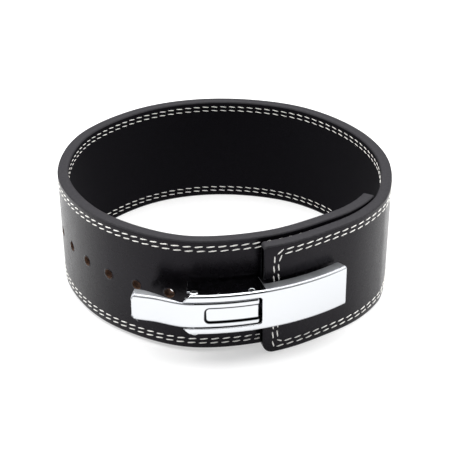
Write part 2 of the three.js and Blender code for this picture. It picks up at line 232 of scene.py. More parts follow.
# %% Mesh helper
def add_piece(name, points, faces, body, materials, paint=None):
    """A new object from points in millimetres and a list of face arrays. paint gives each
    face the number of its material in the list."""
    mesh = bpy.data.meshes.new(name)
    rows = [np.asarray(f, int) for f in faces if len(f)]
    sizes = np.concatenate([np.full(len(f), f.shape[1]) for f in rows])
    corners = np.concatenate([f.ravel() for f in rows])
    starts = np.concatenate([[0], np.cumsum(sizes)[:-1]])
    mesh.vertices.add(len(points))
    mesh.vertices.foreach_set("co", (np.asarray(points) / 1000).astype(np.float32).ravel())
    mesh.loops.add(len(corners))
    mesh.loops.foreach_set("vertex_index", corners)
    mesh.polygons.add(len(sizes))
    mesh.polygons.foreach_set("loop_start", starts)
    mesh.polygons.foreach_set("use_smooth", np.ones(len(sizes), bool))
    for material in materials:
        mesh.materials.append(material)
    if paint is not None:
        mesh.polygons.foreach_set("material_index", np.asarray(paint, int))
    mesh.update(calc_edges=True)
    mesh.validate()
    piece = bpy.data.objects.new(name, mesh)
    bpy.context.scene.collection.objects.link(piece)
    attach(piece, body)
    print(name, "-", len(points), "points,", len(sizes), "faces")
    return piece


def grid_faces(rows, columns, close_rows=False):
    """Quads of a grid of points numbered row by row."""
    row = np.arange(rows if close_rows else rows - 1)[:, None]
    column = np.arange(columns - 1)[None, :]
    first = row * columns + column
    after = (row + 1) % rows * columns + column
    return np.stack([first, first + 1, after + 1, after], -1).reshape(-1, 4)


# %% Material helpers
def from_hex(text):
    """sRGB hex to linear: the low part is a straight line, the rest a power of 2.4."""
    value = np.array([int(text[i:i + 2], 16) for i in (1, 3, 5)]) / 255
    linear = np.where(value <= 0.04045, value / 12.92, ((value + 0.055) / 1.055) ** 2.4)
    return (*linear.tolist(), 1.0)


def node(tree, kind, links=None, **settings):
    """Adds a node. Settings that name a socket fill it, others set the node itself, and
    links give {socket: output socket of another node}."""
    made = tree.nodes.new("ShaderNode" + kind)
    for key, value in settings.items():
        if hasattr(made, key):
            setattr(made, key, value)
        else:
            made.inputs[key.replace("_", " ")].default_value = value
    for key, source in (links or {}).items():
        tree.links.new(source, made.inputs[key])
    return made


def start_material(name):
    """A material with an empty shader, and the place on the object that textures read."""
    material = bpy.data.materials.new(name)
    material.use_nodes = True
    tree = material.node_tree
    tree.nodes.clear()
    output = tree.nodes.new("ShaderNodeOutputMaterial")
    shader = tree.nodes.new("ShaderNodeBsdfPrincipled")
    tree.links.new(shader.outputs["BSDF"], output.inputs["Surface"])
    place = node(tree, "TexCoord").outputs["Object"]
    return material, tree, shader, place


def two_tones(tree, source, dark, pale):
    """A ramp between two colours, each given with its place from 0 to 1."""
    ramp = node(tree, "ValToRGB", {"Fac": source})
    for element, (place, colour) in zip(ramp.color_ramp.elements, (dark, pale)):
        element.position = place
        element.color = from_hex(colour)
    return ramp.outputs["Color"]


def fibre_material(name, per_metre, detail, dark, pale, relief, relief_height, roughness,
                   specular=0.5):
    """Fibres drawn by one noise, which sets both the colour and a small relief."""
    material, tree, shader, place = start_material(name)
    noise = node(tree, "TexNoise", {"Vector": place}, Scale=per_metre, Detail=detail)
    fibre = noise.outputs["Fac"]
    bump = node(tree, "Bump", {"Height": fibre}, Strength=relief, Distance=relief_height)
    tree.links.new(two_tones(tree, fibre, dark, pale), shader.inputs["Base Color"])
    tree.links.new(bump.outputs["Normal"], shader.inputs["Normal"])
    shader.inputs["Roughness"].default_value = roughness
    shader.inputs["Specular IOR Level"].default_value = specular
    return material


# %% [markdown]
# Belt leather is vegetable-tanned cowhide, dyed black and finished with wax. Its grain is a
# net of fine cells about a millimetre across with shallow creases between them, which
# breaks its gloss into a soft sheen. The cut edges are burnished, which means rubbed smooth.
# The upper edge and the ends are also painted a little lighter than the face, partly a
# painted highlight for the light from above, so the lower edge keeps the face's colour.
# The side against the waist is brushed suede, and the core is raw. Its brown is painted
# darker than the raw core is, as painted shade inside the holes.

# %% Black belt leather
GRAIN_PER_METRE = 1 / 0.0011
CREASE_PER_METRE = 1 / 0.009
CLOUD_PER_METRE = 22.0


def belt_leather():
    """Fine cells and wide creases bump the surface, and the creases also vary its gloss."""
    material, tree, shader, place = start_material("black_belt_leather")
    grain = node(tree, "TexVoronoi", {"Vector": place}, feature="DISTANCE_TO_EDGE",
                 Scale=GRAIN_PER_METRE)
    crease = node(tree, "TexNoise", {"Vector": place}, Scale=CREASE_PER_METRE, Detail=5.0)
    cloud = node(tree, "TexNoise", {"Vector": place}, Scale=CLOUD_PER_METRE, Detail=3.0)
    tint = two_tones(tree, cloud.outputs["Fac"], (0.3, "#070608"), (0.75, "#0d0b0f"))
    gloss = node(tree, "MapRange", {"Value": crease.outputs["Fac"]}, To_Min=0.2, To_Max=0.34)
    fine = node(tree, "Bump", {"Height": grain.outputs["Distance"]}, Strength=0.16,
                Distance=0.0003)
    wide = node(tree, "Bump", {"Height": crease.outputs["Fac"],
                               "Normal": fine.outputs["Normal"]}, Strength=0.1, Distance=0.0008)
    tree.links.new(tint, shader.inputs["Base Color"])
    tree.links.new(gloss.outputs["Result"], shader.inputs["Roughness"])
    tree.links.new(wide.outputs["Normal"], shader.inputs["Normal"])
    shader.inputs["Specular IOR Level"].default_value = 0.17
    shader.inputs["Specular Tint"].default_value = from_hex("#f0eaf8")
    return material


def burnished_edge_painted_lighter():
    """Rubbed with wax until the fibres lie flat. Its lighter grey is partly painted light: only
    the upper edge and the ends wear it, a painted highlight from the light above.
    """
    return fibre_material("burnished_leather_edge_painted_light", per_metre=420.0, detail=4.0,
                          dark=(0.3, "#29282b"), pale=(0.8, "#333235"), relief=0.1,
                          relief_height=0.0004, roughness=0.6, specular=0.12)


def suede_lining():
    """The side against the waist is brushed to a short nap, which swallows the light."""
    return fibre_material("black_suede_lining", per_metre=1100.0, detail=5.0,
                          dark=(0.3, "#08070a"), pale=(0.8, "#121116"), relief=0.4,
                          relief_height=0.0003, roughness=0.9, specular=0.08)


def raw_leather_painted_darker():
    """The undyed core, seen on the walls of the holes. Its brown is painted darker than the
    raw core is, as painted shade inside the holes.
    """
    return fibre_material("raw_leather_core_painted_shade", per_metre=900.0, detail=6.0,
                          dark=(0.3, "#1d120c"), pale=(0.75, "#6a4832"), relief=0.5,
                          relief_height=0.0004, roughness=0.9)


leather = belt_leather()
upper_edge_leather_painted_light = burnished_edge_painted_lighter()
hole_wall_leather_painted_shade = raw_leather_painted_darker()
suede = suede_lining()

# %% [markdown]
# The strap is a section carried along the track: an outer face, a rounded top edge, an inner
# face and a rounded bottom edge. Its ends are rounded the same way, by drawing the last few
# sections in. The size holes are cut from the two faces: the points round a hole are moved
# onto its circle, and a wall of raw leather joins the front circle to the back one.

# %% Section of the strap
EDGE_ROUND = 1.5
END_ROUND_LOW = 9.0
END_ROUND_HIGH = 3.0
HOLE_RADIUS = 3.75
HOLE_LIP = 0.45
HOLE_PITCH = 29.3
FIRST_HOLE = 74.3
HOLE_COUNT = 10
HOLES = FIRST_HOLE + HOLE_PITCH * np.arange(HOLE_COUNT)
HOLE_HEIGHT = STRAP_WIDTH / 2
CELL = 1.1
HOLE_BAND = 6.6
EDGE_STEPS = 10
END_STEPS = 14
GAP_BEFORE_END = 0.5
NEAR_FACE = 0.98
CORE_RINGS = 4
LOW_ROWS = (5, 10, 18, 27, 35, 40)


def strap_section():
    """Points (offset, height) round the section, and the rows that lie on the faces."""
    low = np.array([EDGE_ROUND, *LOW_ROWS])
    fine = HOLE_HEIGHT + np.arange(-HOLE_BAND, HOLE_BAND + 0.1, CELL)
    rows = np.concatenate([low, fine, STRAP_WIDTH - low[::-1]])
    turn = np.radians(np.linspace(0, 180, EDGE_STEPS + 1))[1:-1]
    flat = HALF_WALL - EDGE_ROUND
    over = np.where(turn < np.pi / 2, flat, -flat) + EDGE_ROUND * np.cos(turn)
    rise = EDGE_ROUND * np.sin(turn)
    outer = np.stack([np.full(len(rows), HALF_WALL), rows], -1)
    top = np.stack([over, STRAP_WIDTH - EDGE_ROUND + rise], -1)
    inner = np.stack([np.full(len(rows), -HALF_WALL), rows[::-1]], -1)
    bottom = np.stack([-over, EDGE_ROUND - rise], -1)
    return np.concatenate([outer, top, inner, bottom]), len(rows), len(turn)


section, face_rows, edge_rows = strap_section()
print("section points:", len(section))


# %% Strap surface with its holes
def strap_columns():
    """Even steps along the strap, and close ones where the ends are rounded."""
    end = END_ROUND_LOW * (1 - np.cos(np.radians(np.linspace(0, 90, END_STEPS + 1))))
    middle = np.arange(end[-1] + CELL, track.length - end[-1] - GAP_BEFORE_END, CELL)
    return np.concatenate([end, middle, track.length - end[::-1]])


def corner_inset(from_end, radius):
    """How far a rounded corner pulls the edge in, from the circle's height at that place."""
    inside = np.clip(radius - from_end, 0, radius)
    return radius - np.sqrt(radius ** 2 - inside ** 2)


def strap_surface():
    """Offset, height and distance of every point, with the ends rounded by drawing in."""
    distance = strap_columns()
    from_end = np.minimum(distance, track.length - distance)
    low = corner_inset(from_end, END_ROUND_LOW)[None]
    high = STRAP_WIDTH - corner_inset(from_end, END_ROUND_HIGH)[None]
    thin = 1 - corner_inset(from_end, EDGE_ROUND)[None] / HALF_WALL
    height = low + (high - low) * (section[:, 1:] / STRAP_WIDTH)
    offset = section[:, :1] * thin
    return offset, height, np.broadcast_to(distance, offset.shape).copy()


def cut_holes(faces, offset, height, distance):
    """Which faces stay, and for each hole the points that kept and cut faces share."""
    centre_height = height.ravel()[faces].mean(1)
    centre_distance = distance.ravel()[faces].mean(1)
    on_face = np.abs(offset.ravel()[faces].mean(1)) > HALF_WALL * NEAR_FACE
    keep = np.ones(len(faces), bool)
    rings = []
    for hole in HOLES:
        away = np.hypot(centre_height - HOLE_HEIGHT, centre_distance - hole)
        inside = on_face & (away < HOLE_RADIUS + HOLE_LIP)
        keep &= ~inside
        rings.append(np.intersect1d(faces[inside], faces[~inside]))
    return keep, rings


def core_points(hole, turn):
    """Rings of the hole's wall, from just under the outer face to just over the inner one."""
    deep = np.linspace(HALF_WALL - HOLE_LIP, -HALF_WALL + HOLE_LIP, CORE_RINGS)
    height = HOLE_HEIGHT + HOLE_RADIUS * np.sin(turn)
    distance = hole + HOLE_RADIUS * np.cos(turn)
    places = np.broadcast_arrays(deep[:, None], height[None], distance[None])
    return np.stack(places, -1).reshape(-1, 3)


def strap_mesh():
    """Grid of the section by the columns, less the cells inside a hole, plus hole walls and
    two end caps."""
    offset, height, distance = strap_surface()
    count, columns = offset.shape
    number = np.arange(count * columns).reshape(count, columns)
    faces = grid_faces(count, columns, close_rows=True)
    opposite = 2 * face_rows + edge_rows - 1 - np.arange(face_rows)
    keep, rings = cut_holes(faces, offset, height, distance)
    walls = []
    added = []
    next_point = count * columns
    for hole, ring in zip(HOLES, rings):
        angle = np.arctan2(height.flat[ring] - HOLE_HEIGHT, distance.flat[ring] - hole)
        height.flat[ring] = HOLE_HEIGHT + (HOLE_RADIUS + HOLE_LIP) * np.sin(angle)
        distance.flat[ring] = hole + (HOLE_RADIUS + HOLE_LIP) * np.cos(angle)
        front = ring // columns < face_rows
        order = np.argsort(angle[front])
        front_ring = ring[front][order]
        back_ring = number[opposite[front_ring // columns], front_ring % columns]
        turn = angle[front][order]
        added.append(core_points(hole, turn))
        middle = next_point + np.arange(CORE_RINGS * len(turn)).reshape(CORE_RINGS, -1)
        stack = np.vstack([front_ring[None], middle, back_ring[None]])
        nearer, further = stack[:-1], stack[1:]
        quad = [nearer, further, np.roll(further, -1, 1), np.roll(nearer, -1, 1)]
        walls.append(np.stack(quad, -1).reshape(-1, 4))
        next_point += middle.size
    flat = np.stack([offset.ravel(), height.ravel(), distance.ravel()], -1)
    flat = np.vstack([flat] + added)
    points = strap_point(flat[:, 0], flat[:, 1], flat[:, 2])
    caps = np.stack([number[:, 0][::-1], number[:, -1]])
    return points, faces[keep], np.vstack(walls), caps, faces[keep][:, 0] // columns


# %% Leather strap
def strap_paint(face_row, wall_count, cap_count):
    """Material numbers: 0 the outer face and the lower edge, 1 the upper edge and the ends,
    which are painted lighter, partly as painted light from above, 2 the walls of the holes,
    whose brown is painted darker as painted shade, 3 the lining."""
    inner_start = face_rows + edge_rows
    paint = np.zeros(len(face_row), int)
    paint[(face_row >= face_rows - 1) & (face_row < inner_start)] = 1
    paint[(face_row >= inner_start) & (face_row < inner_start + face_rows - 1)] = 3
    return np.concatenate([paint, np.full(wall_count, 2), np.full(cap_count, 1)])


points, faces, walls, caps, face_row = strap_mesh()
strap = add_piece("leather_strap", points, [faces, walls, caps], "belt",
                  [leather, upper_edge_leather_painted_light, hole_wall_leather_painted_shade, suede],
                  strap_paint(face_row, len(walls), len(caps)))
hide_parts("strap")

# %% [markdown]
# The strap is sewn with thick waxed white thread, in two rows round its whole outline. Each
# stitch lies flat for about six millimetres, then dives into the leather. One small pill is
# worked out once and copied along the rows, on the outer and on the inner face.

# %% White waxed thread
STITCH_PITCH = 8.8
STITCH_LENGTH = 6.4
THREAD_RADIUS = 0.62
THREAD_SINK = 0.12
THREAD_SLANT = -0.28
INNER_THREAD_SHARE = 0.75
PILL_SIDES = 8
PILL_RINGS = np.array([-1, -0.9, -0.6, 0, 0.6, 0.9, 1])
PILL_TIP = 0.02

# inset from the long edges, inset from the ends, cut at the upper corners, start as a share
STITCH_ROWS = [(5.4, 8.0, 5.5, 0.0), (9.2, 11.8, 3.5, 0.42)]

# no stitch is drawn in this place near the outer end, where the base plate lies
BARE_LENGTH = 75.0
BARE_HALF_HEIGHT = 17.0


def waxed_thread():
    """Twisted white thread with a dull wax on it."""
    return fibre_material("waxed_white_thread", per_metre=1500.0, detail=3.0,
                          dark=(0.25, "#dedbd4"), pale=(0.7, "#faf9f6"), relief=0.3,
                          relief_height=0.0002, roughness=0.55)


thread = waxed_thread()


# %% Rows of stitches
def stitch_row(edge_inset, end_inset, corner, start):
    """Centres and directions at even steps round a closed outline with cut upper corners."""
    d0, d1 = end_inset, track.length - end_inset
    h0, h1 = edge_inset, STRAP_WIDTH - edge_inset
    outline = np.array([
        (d0, h0), (d1, h0), (d1, h1 - corner), (d1 - corner, h1), (d0 + corner, h1),
        (d0, h1 - corner), (d0, h0)])
    reach = np.concatenate([[0], np.cumsum(np.hypot(*np.diff(outline, axis=0).T))])
    count = int(round(reach[-1] / STITCH_PITCH))
    at = (np.arange(count) + start) / count * reach[-1]

    def read(s):
        s = s % reach[-1]
        return np.stack([np.interp(s, reach, c) for c in outline.T], -1)

    half = STITCH_LENGTH / 2
    ahead, behind = read(at + half), read(at - half)
    return (ahead + behind) / 2, ahead - behind


def pill():
    """A bar with round ends: rings whose radius is the root of one less the cube of the
    share of the way to the tip."""
    radius = THREAD_RADIUS * np.sqrt(np.clip(1 - np.abs(PILL_RINGS) ** 3, PILL_TIP, 1))
    turn = np.linspace(0, 2 * np.pi, PILL_SIDES, endpoint=False)
    x = np.repeat(PILL_RINGS * 0.5, PILL_SIDES)
    y = np.outer(radius, np.cos(turn)).ravel()
    z = np.outer(radius, np.sin(turn)).ravel()
    return x, y, z


def stitches(side):
    """Every stitch on one face of the strap, bent a little like an S because the thread pulls
    from hole to hole. side is 1 outside and -1 inside."""
    rows = [stitch_row(*row) for row in STITCH_ROWS]
    centre = np.vstack([r[0] for r in rows])
    along = np.vstack([r[1] for r in rows])
    if side > 0:
        near_end = centre[:, 0] > track.length - BARE_LENGTH
        hidden = near_end & (np.abs(centre[:, 1] - LEVER_CENTRE_HEIGHT) < BARE_HALF_HEIGHT)
        centre, along = centre[~hidden], along[~hidden]
    x, y, z = pill()
    length = np.linalg.norm(along, axis=1, keepdims=True)
    across = np.stack([-along[:, 1], along[:, 0]], -1) / length
    thin = 1.0 if side > 0 else INNER_THREAD_SHARE
    y, z = y * thin + THREAD_SLANT * np.sin(np.pi * x), z * thin
    flat = (centre[:, None] + along[:, None] * x[None, :, None]
            + across[:, None] * y[None, :, None])
    offset = side * (HALF_WALL - THREAD_SINK + z)[None]
    place = strap_point(offset, flat[..., 1], flat[..., 0])
    return place.reshape(-1, 3), len(centre)


def stitch_faces(count):
    """Sides and tips of every pill, numbered on from one pill to the next."""
    rings = len(PILL_RINGS)
    sides = grid_faces(PILL_SIDES, rings, close_rows=True)
    sides = sides % rings * PILL_SIDES + sides // rings
    around = np.arange(PILL_SIDES)
    tips = np.stack([around[::-1], (rings - 1) * PILL_SIDES + around])
    step = np.arange(count)[:, None, None] * PILL_SIDES * rings
    return (sides[None] + step).reshape(-1, 4), (tips[None] + step).reshape(-1, PILL_SIDES)


for name, side in (("outer_stitching", 1), ("inner_stitching", -1)):
    place, count = stitches(side)
    quads, tips = stitch_faces(count)
    if side > 0:
        quads, tips = quads[:, ::-1], tips[:, ::-1]
    add_piece(name, place, [quads, tips], "belt", [thread])

# %% [markdown]
# The lever and the hook plate are pressed from steel sheet and bent into shallow channels,
# then chromed. Bent sheet can be drawn flat first: an outline with a window and holes. Each
# point of the flat drawing is then carried onto the bent face, round the bend and down the
# flange, and a Solidify modifier gives the sheet its thickness.

# %% Chrome and plain steel
CHROME_COLOUR = "#cfd1d4"
CHROME_ROUGHNESS = 0.07
# the dark colour painted round the hook plate's groove, a painted reflection of the dim room
GROOVE_PAINTED_SHADE = "#161618"
WAVES_PER_METRE = 60.0
LEAST_HAZE = 0.8
MOST_HAZE = 1.3


def chrome(name, colour, roughness):
    """Bare metal with a roughness that wanders a little, and faint waves in its surface."""
    material, tree, shader, place = start_material(name)
    wave = node(tree, "TexNoise", {"Vector": place}, Scale=WAVES_PER_METRE, Detail=2.0)
    haze = node(tree, "MapRange", {"Value": wave.outputs["Fac"]},
                To_Min=roughness * LEAST_HAZE, To_Max=roughness * MOST_HAZE)
    relief = node(tree, "Bump", {"Height": wave.outputs["Fac"]}, Strength=0.02,
                  Distance=0.001)
    shader.inputs["Base Color"].default_value = from_hex(colour)
    shader.inputs["Metallic"].default_value = 1.0
    tree.links.new(haze.outputs["Result"], shader.inputs["Roughness"])
    tree.links.new(relief.outputs["Normal"], shader.inputs["Normal"])
    return material


def chrome_with_painted_groove_shade():
    """Bright chrome with a dark line painted round the pressed groove: a painted reflection of
    the dim room in the groove's flanks. The mesh gives every point its distance to the
    groove, as a share of the line's width."""
    material = chrome("bright_chrome_painted_groove_shade", CHROME_COLOUR, CHROME_ROUGHNESS)
    tree = material.node_tree
    shader = next(n for n in tree.nodes if n.type == "BSDF_PRINCIPLED")
    away = node(tree, "Attribute", attribute_name="groove").outputs["Fac"]
    off_painted_line = node(tree, "MapRange", {"Value": away}, From_Min=0.7, From_Max=1.3)
    tint = two_tones(tree, off_painted_line.outputs["Result"], (0.0, GROOVE_PAINTED_SHADE), (1.0, CHROME_COLOUR))
    tree.links.new(tint, shader.inputs["Base Color"])
    return material


bright_chrome = chrome("bright_chrome_plate", CHROME_COLOUR, CHROME_ROUGHNESS)
satin_chrome = chrome("satin_chrome_plate", "#b2b4b8", 0.42)
turned_steel = chrome("turned_steel", "#c4c6c8", 0.22)


# %% Flat drawings
SLOPE_STEP = 1e-3
RIM_REACH = 1.2
RIM_ROUNDS = 3
BEND = 2.4
SATIN_FROM = 0.9


def cut_sheet(us, vs, outline):
    """Cells of a grid whose middle lies inside the outline, where outline is the distance to
    the edge, less than nought inside. Points on the rim are moved onto the edge, against
    the slope of that distance."""
    u, v = np.meshgrid(us, vs, indexing="ij")
    middle_u = (u[1:, 1:] + u[:-1, :-1]) / 2
    middle_v = (v[1:, 1:] + v[:-1, :-1]) / 2
    inside = outline(middle_u, middle_v) < 0
    kept = np.zeros(u.shape, int)
    for row in (0, 1):
        for column in (0, 1):
            kept[row:row + inside.shape[0], column:column + inside.shape[1]] += inside
    rim = (kept > 0) & (kept < 4)
    h = SLOPE_STEP
    for _ in range(RIM_ROUNDS):
        away = outline(u, v)
        slope_u = (outline(u + h, v) - outline(u - h, v)) / (2 * h)
        slope_v = (outline(u, v + h) - outline(u, v - h)) / (2 * h)
        size = np.maximum(slope_u ** 2 + slope_v ** 2, 1e-6)
        near = rim & (np.abs(away) < RIM_REACH)
        u = np.where(near, u - away * slope_u / size, u)
        v = np.where(near, v - away * slope_v / size, v)
    faces = grid_faces(len(us), len(vs))[inside.ravel()]
    used, faces = np.unique(faces, return_inverse=True)
    return u.ravel()[used], v.ravel()[used], faces.reshape(-1, 4)


def box_edge(u, v, low_u, high_u, low_v, high_v, corner=0.0):
    """Distance to a rectangle with rounded corners."""
    du = np.abs(u - (low_u + high_u) / 2) - (high_u - low_u) / 2 + corner
    dv = np.abs(v - (low_v + high_v) / 2) - (high_v - low_v) / 2 + corner
    outside = np.hypot(np.maximum(du, 0), np.maximum(dv, 0))
    return outside + np.minimum(np.maximum(du, dv), 0) - corner


def even_steps(breaks, step):
    """A grid line at each break, and even ones of about one step between them."""
    parts = [np.linspace(a, b, max(1, int(round((b - a) / step))), endpoint=False)
             for a, b in zip(breaks[:-1], breaks[1:])]
    return np.concatenate(parts + [[breaks[-1]]])


def channel_section(v, half):
    """Height and depth on a channel's outside at the flat width v: straight to the bend, a
    quarter circle, then straight down the flange."""
    flat, arc = half - BEND, BEND * np.pi / 2
    width = np.abs(v)
    turn = np.clip((width - flat) / BEND, 0, np.pi / 2)
    height = np.where(width < flat, width, flat + BEND * np.sin(turn))
    depth = BEND * (1 - np.cos(turn)) + np.maximum(width - flat - arc, 0)
    return np.sign(v) * height, depth


def bend_limits(half):
    """Flat widths at which a channel's bend starts and ends."""
    return half - BEND, half - BEND + BEND * np.pi / 2


def both_sides(half):
    """Grid lines of one half, mirrored to the other."""
    return np.concatenate([-half[::-1], half[1:]])


# %% Lever
LEVER_HALF = 35.3 / 2
LEVER_TAIL = 8.9
LEVER_REACH = 132.7
TAIL_CHAMFER = 5.6
GRIP_FLANGE = 10.6
HINGE_FLANGE = 22.8
HINGE_FLANGE_TAIL = 6.1
FLANGE_STEP = STRAP_END_ALONG - 1.6
WINDOW_HALF = 12.0
WINDOW_CORNER = 2.8
HOOK_PIN_ALONG = 46.2
HOOK_PIN_DEEP = 4.2
BORE_HINGE = 1.9
BORE_HOOK = 2.3
GRIP_CORNER = 2.5
CHAMFER_DEEP = 7.2
LEVER_CELL = 0.85
LEVER_BEND_CELL = 0.5

# a little further towards the grip than the frame's own window ends
WINDOW_END = 54.0

# the window's drawing runs this far past the tail, and a far distance decides no edge
PAST_TAIL = 20.0
FAR_INSIDE = -5.0


def flange_bore(u, v, depth, along, deep, radius):
    """Distance to a round bore that goes through the flanges alone."""
    in_flange = np.abs(v) > bend_limits(LEVER_HALF)[1] - 1
    return np.where(in_flange, radius - np.hypot(u - along, depth - deep), FAR_INSIDE)


def lever_outline(u, v):
    """Face and flanges joined, less the window, the tail's corners and the two bores."""
    height, depth = channel_section(v, LEVER_HALF)
    bend_end = bend_limits(LEVER_HALF)[1]
    face = box_edge(u, v, -LEVER_TAIL, LEVER_REACH, -bend_end, bend_end)
    hinge = bend_end + HINGE_FLANGE - BEND
    grip = bend_end + GRIP_FLANGE - BEND
    deep = box_edge(u, v, -HINGE_FLANGE_TAIL, FLANGE_STEP, -hinge, hinge)
    low = box_edge(u, v, 0, LEVER_REACH, -grip, grip, GRIP_CORNER)
    shape = np.minimum(np.minimum(face, deep), low)
    window = box_edge(u, v, -LEVER_TAIL - PAST_TAIL, WINDOW_END, -WINDOW_HALF, WINDOW_HALF,
                      WINDOW_CORNER)
    inset = np.maximum(LEVER_HALF - np.abs(height), 0)
    chamfer = (TAIL_CHAMFER - (u + LEVER_TAIL) - inset) / np.sqrt(2)
    chamfer = np.where(depth < CHAMFER_DEEP, chamfer, FAR_INSIDE)
    hinge_bore = flange_bore(u, v, depth, 0.0, HINGE_PIN_DEEP, BORE_HINGE)
    hook_bore = flange_bore(u, v, depth, HOOK_PIN_ALONG, HOOK_PIN_DEEP, BORE_HOOK)
    return np.maximum.reduce([shape, -window, chamfer, hinge_bore, hook_bore])


def make_lever():
    """Points, faces and, for each face, whether it lies on the satin grip flanges."""
    bend_start, bend_end = bend_limits(LEVER_HALF)
    grip = bend_end + GRIP_FLANGE - BEND
    hinge = bend_end + HINGE_FLANGE - BEND
    half = np.concatenate([even_steps([0, WINDOW_HALF, bend_start], LEVER_CELL)[:-1],
                           even_steps([bend_start, bend_end], LEVER_BEND_CELL)[:-1],
                           even_steps([bend_end, grip, hinge], LEVER_CELL)])
    us = even_steps([-LEVER_TAIL, -HINGE_FLANGE_TAIL, WINDOW_END, FLANGE_STEP, LEVER_REACH],
                    LEVER_CELL)
    u, v, faces = cut_sheet(us, both_sides(half), lever_outline)
    height, depth = channel_section(v, LEVER_HALF)
    on_grip = u[faces].mean(1) > FLANGE_STEP - 1
    on_flange = np.abs(v[faces]).mean(1) > bend_start + SATIN_FROM
    return buckle_point(u, depth, height), faces, on_grip & on_flange


def finish_sheet(piece, thickness, rounding):
    """Thickness inwards, then a small round on every sharp edge."""
    wall = piece.modifiers.new("sheet_wall", "SOLIDIFY")
    wall.thickness = thickness / 1000
    wall.offset = -1
    wall.use_even_offset = False
    wall.material_offset_rim = 1
    soft = piece.modifiers.new("edge_round", "BEVEL")
    soft.width = rounding / 1000
    soft.segments = 3
    soft.limit_method = "ANGLE"
    soft.angle_limit = np.radians(50)
    soft.use_clamp_overlap = False
    soft.harden_normals = True


points, faces, satin = make_lever()
lever = add_piece("lever_shell", points, [faces[:, ::-1]], "lever",
                  [bright_chrome, satin_chrome], satin)
finish_sheet(lever, thickness=1.8, rounding=0.55)
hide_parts("lever")

# %% [markdown]
# The hook plate is a narrower channel that lies in the lever's window. At its right end the
# sheet is turned down past the hook pin, at its left end a tab is folded down, and behind the
# tab stands the round tooth that drops into one of the strap's holes. A long sunken panel
# stiffens its face.

# %% Hook plate
HOOK_HALF = WINDOW_HALF - 0.4
HOOK_REACH = 52.8
HOOK_FLANGE = 9.2
HOOK_FLANGE_FLAT = 8.0
HOOK_FLANGE_TAPER = 33.0
HOOK_FACE_WALL = 1.4
HOOK_SINK = 6.4
HOOK_SINK_FROM = 3.0
HOOK_SINK_TO = 38.0
TAB_BEND = 1.8
TAB_HALF = HOOK_HALF - 2.7
TAB_SLIT = 0.7
TAB_EDGE = 0.3
TAB_CORNER = 1.5
ROLL_START = 50.0
ROLL_RADIUS = 2.0
ROLL_TURN = np.radians(90)
ROLL_DROP = 5.0
PANEL_START = 8.6
PANEL_HALF = 6.3
PANEL_CORNER = 3.4
PANEL_DEEP = 0.8
PANEL_SLOPE = 1.2
# width of the painted dark line round the sunken panel, and how much wider it grows low down, a
# painted reflection of the dim room in the upward-facing lower flank
PANEL_LINE = 0.95
PANEL_LINE_LEAN = 0.22
END_CORNER = 4.0
END_CORNER_FADE = 0.8
PAST_HOOK = 30.0
HOOK_CELL = 0.5
HOOK_BEND_CELL = 0.45
HOOK_FLANGE_CELL = 0.7

# flat lengths of the folded tab and of the knuckle
TAB_LOW = -HOOK_REACH + TAB_BEND - TAB_BEND * np.pi / 2 - (HOOK_FLANGE - TAB_BEND)
ROLL_END = ROLL_START + ROLL_RADIUS * ROLL_TURN + ROLL_DROP


def smooth_step(x):
    """Three times the square less twice the cube, level at nought and at one."""
    x = np.clip(x, 0, 1)
    return x * x * (3 - 2 * x)


def hook_sink(along):
    """The plate bends in behind the hinge: a smooth step of its whole sink."""
    return HOOK_SINK * smooth_step((-along - HOOK_SINK_FROM) / (HOOK_SINK_TO - HOOK_SINK_FROM))


def hook_flange(u):
    """Depth of the flange's free edge: level by the tooth, then a straight taper."""
    share = np.clip((u + HOOK_REACH - HOOK_FLANGE_FLAT) / HOOK_FLANGE_TAPER, 0, 1)
    return HOOK_FLANGE + (HOOK_FACE_WALL - HOOK_FLANGE) * share


def hook_outline(u, v):
    """The channel up to its flange's edge, joined with the tab, less the slits beside it."""
    height, depth = channel_section(v, HOOK_HALF)
    body = np.maximum.reduce([-HOOK_REACH - u, depth - hook_flange(u), u - ROLL_END])
    slit = box_edge(u, np.abs(v), -HOOK_REACH - PAST_HOOK, -HOOK_REACH + TAB_BEND,
                    TAB_HALF, TAB_HALF + TAB_SLIT)
    tab = box_edge(u, v, TAB_LOW, 0, -TAB_HALF, TAB_HALF, TAB_CORNER)
    return np.maximum(np.minimum(body, tab), -slit)


def roll_knuckle(u, depth):
    """Past the start of the roll, a circle about its centre and then straight down."""
    past = np.clip(u - ROLL_START, 0, None)
    turn = np.minimum(past / ROLL_RADIUS, ROLL_TURN)
    drop = np.maximum(past - ROLL_RADIUS * ROLL_TURN, 0)
    radius = ROLL_RADIUS - depth
    along = np.where(past > 0, ROLL_START + radius * np.sin(turn), u)
    deep = np.where(past > 0, ROLL_RADIUS - radius * np.cos(turn) + drop, depth)
    return along, deep


def fold_tab(u, v, along, deep):
    """On the tab, a quarter circle and then straight down."""
    fold_start = -HOOK_REACH + TAB_BEND
    on_tab = (u < fold_start) & (np.abs(v) < TAB_HALF + TAB_EDGE)
    past = np.maximum(fold_start - u, 0)
    turn = np.clip(past / TAB_BEND, 0, np.pi / 2)
    straight = np.maximum(past - TAB_BEND * np.pi / 2, 0)
    along = np.where(on_tab, fold_start - TAB_BEND * np.sin(turn), along)
    deep = np.where(on_tab, TAB_BEND * (1 - np.cos(turn)) + straight, deep)
    return along, deep


